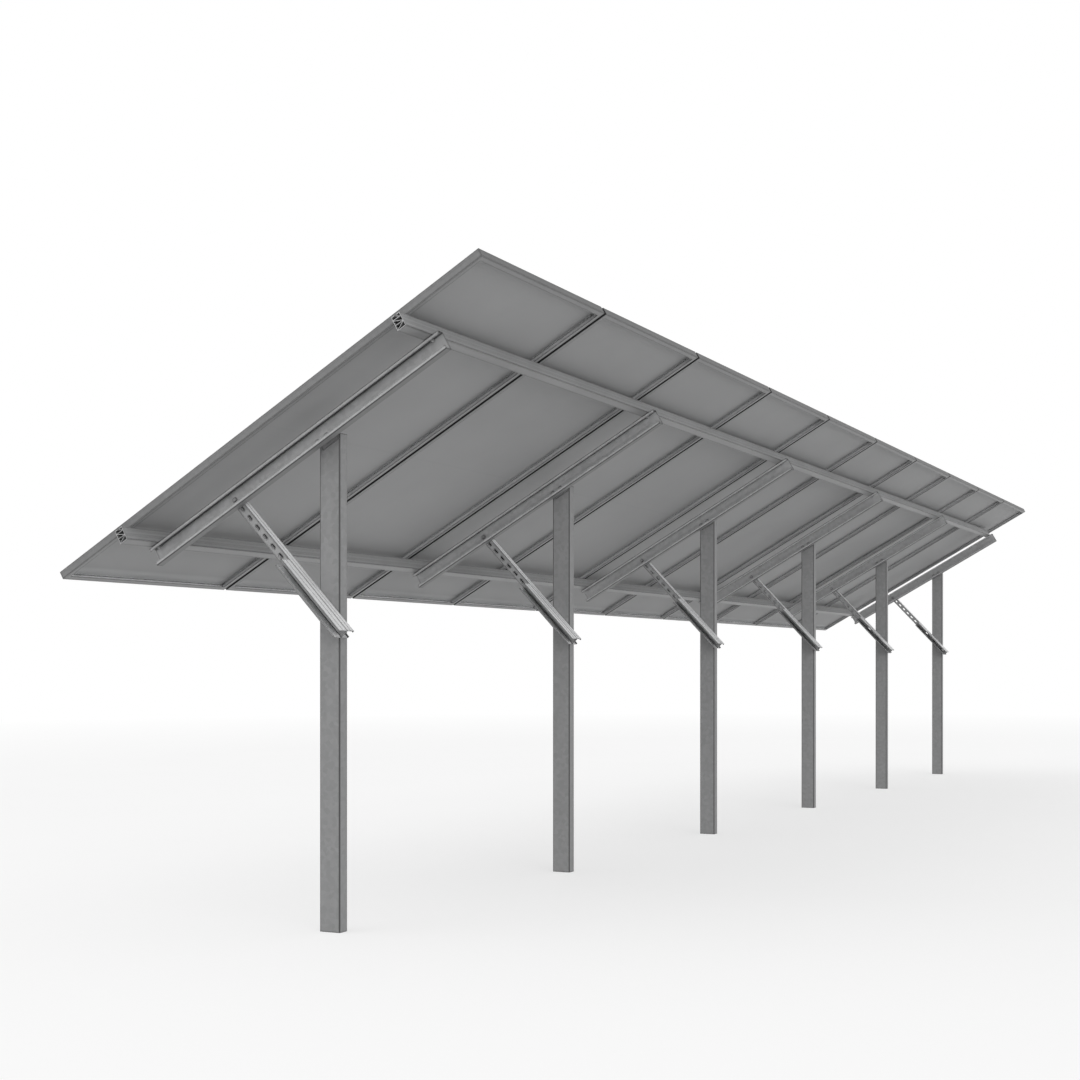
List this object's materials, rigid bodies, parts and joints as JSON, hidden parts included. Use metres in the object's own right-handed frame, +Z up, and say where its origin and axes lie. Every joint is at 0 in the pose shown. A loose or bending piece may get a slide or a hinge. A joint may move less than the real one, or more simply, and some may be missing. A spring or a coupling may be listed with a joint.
{
  "type": "solar panel ground mount",
  "caption": "Fixed-tilt row of framed solar modules on two rails, sloping beams, single driven posts and diagonal braces.",
  "frame": {"origin": "foot of the first post, in the middle of its web, at the end of the row that the picture shows nearest", "axes": "+X along the row towards its near end, +Y to the high edge of the modules, +Z up"},
  "size_m": [11.574, 2.0884, 2.689],
  "materials": {
    "post_steel": "hot-dip galvanised, matt",
    "beam_steel": "pre-galvanised, satin",
    "brace_steel": "bright zinc, satin",
    "rail_aluminium": "mill finish, satin",
    "frame_aluminium": "anodised, satin",
    "laminate": "solar glass over dark cells, grey rear sheet"
  },
  "bodies": {
    "root": {"post_1": "post_steel", "beam_1": "beam_steel", "brace_1": "brace_steel", "doubler_1": "brace_steel", "post_head_1": "post_steel", "post_2": "post_steel", "beam_2": "beam_steel", "brace_2": "brace_steel", "doubler_2": "brace_steel", "post_head_2": "post_steel", "post_3": "post_steel", "beam_3": "beam_steel", "brace_3": "brace_steel", "doubler_3": "brace_steel", "post_head_3": "post_steel", "post_4": "post_steel", "beam_4": "beam_steel", "brace_4": "brace_steel", "doubler_4": "brace_steel", "post_head_4": "post_steel", "post_5": "post_steel", "beam_5": "beam_steel", "brace_5": "brace_steel", "doubler_5": "brace_steel", "post_head_5": "post_steel", "post_6": "post_steel", "beam_6": "beam_steel", "brace_6": "brace_steel", "doubler_6": "brace_steel", "post_head_6": "post_steel", "rail_upper": "rail_aluminium", "rail_lower": "rail_aluminium", "module_frame_1": "frame_aluminium", "module_laminate_1": "laminate", "module_frame_2": "frame_aluminium", "module_laminate_2": "laminate", "module_frame_3": "frame_aluminium", "module_laminate_3": "laminate", "module_frame_4": "frame_aluminium", "module_laminate_4": "laminate", "module_frame_5": "frame_aluminium", "module_laminate_5": "laminate", "module_frame_6": "frame_aluminium", "module_laminate_6": "laminate", "module_frame_7": "frame_aluminium", "module_laminate_7": "laminate", "module_frame_8": "frame_aluminium", "module_laminate_8": "laminate", "module_frame_9": "frame_aluminium", "module_laminate_9": "laminate", "module_frame_10": "frame_aluminium", "module_laminate_10": "laminate"}
  },
  "joints": []
}
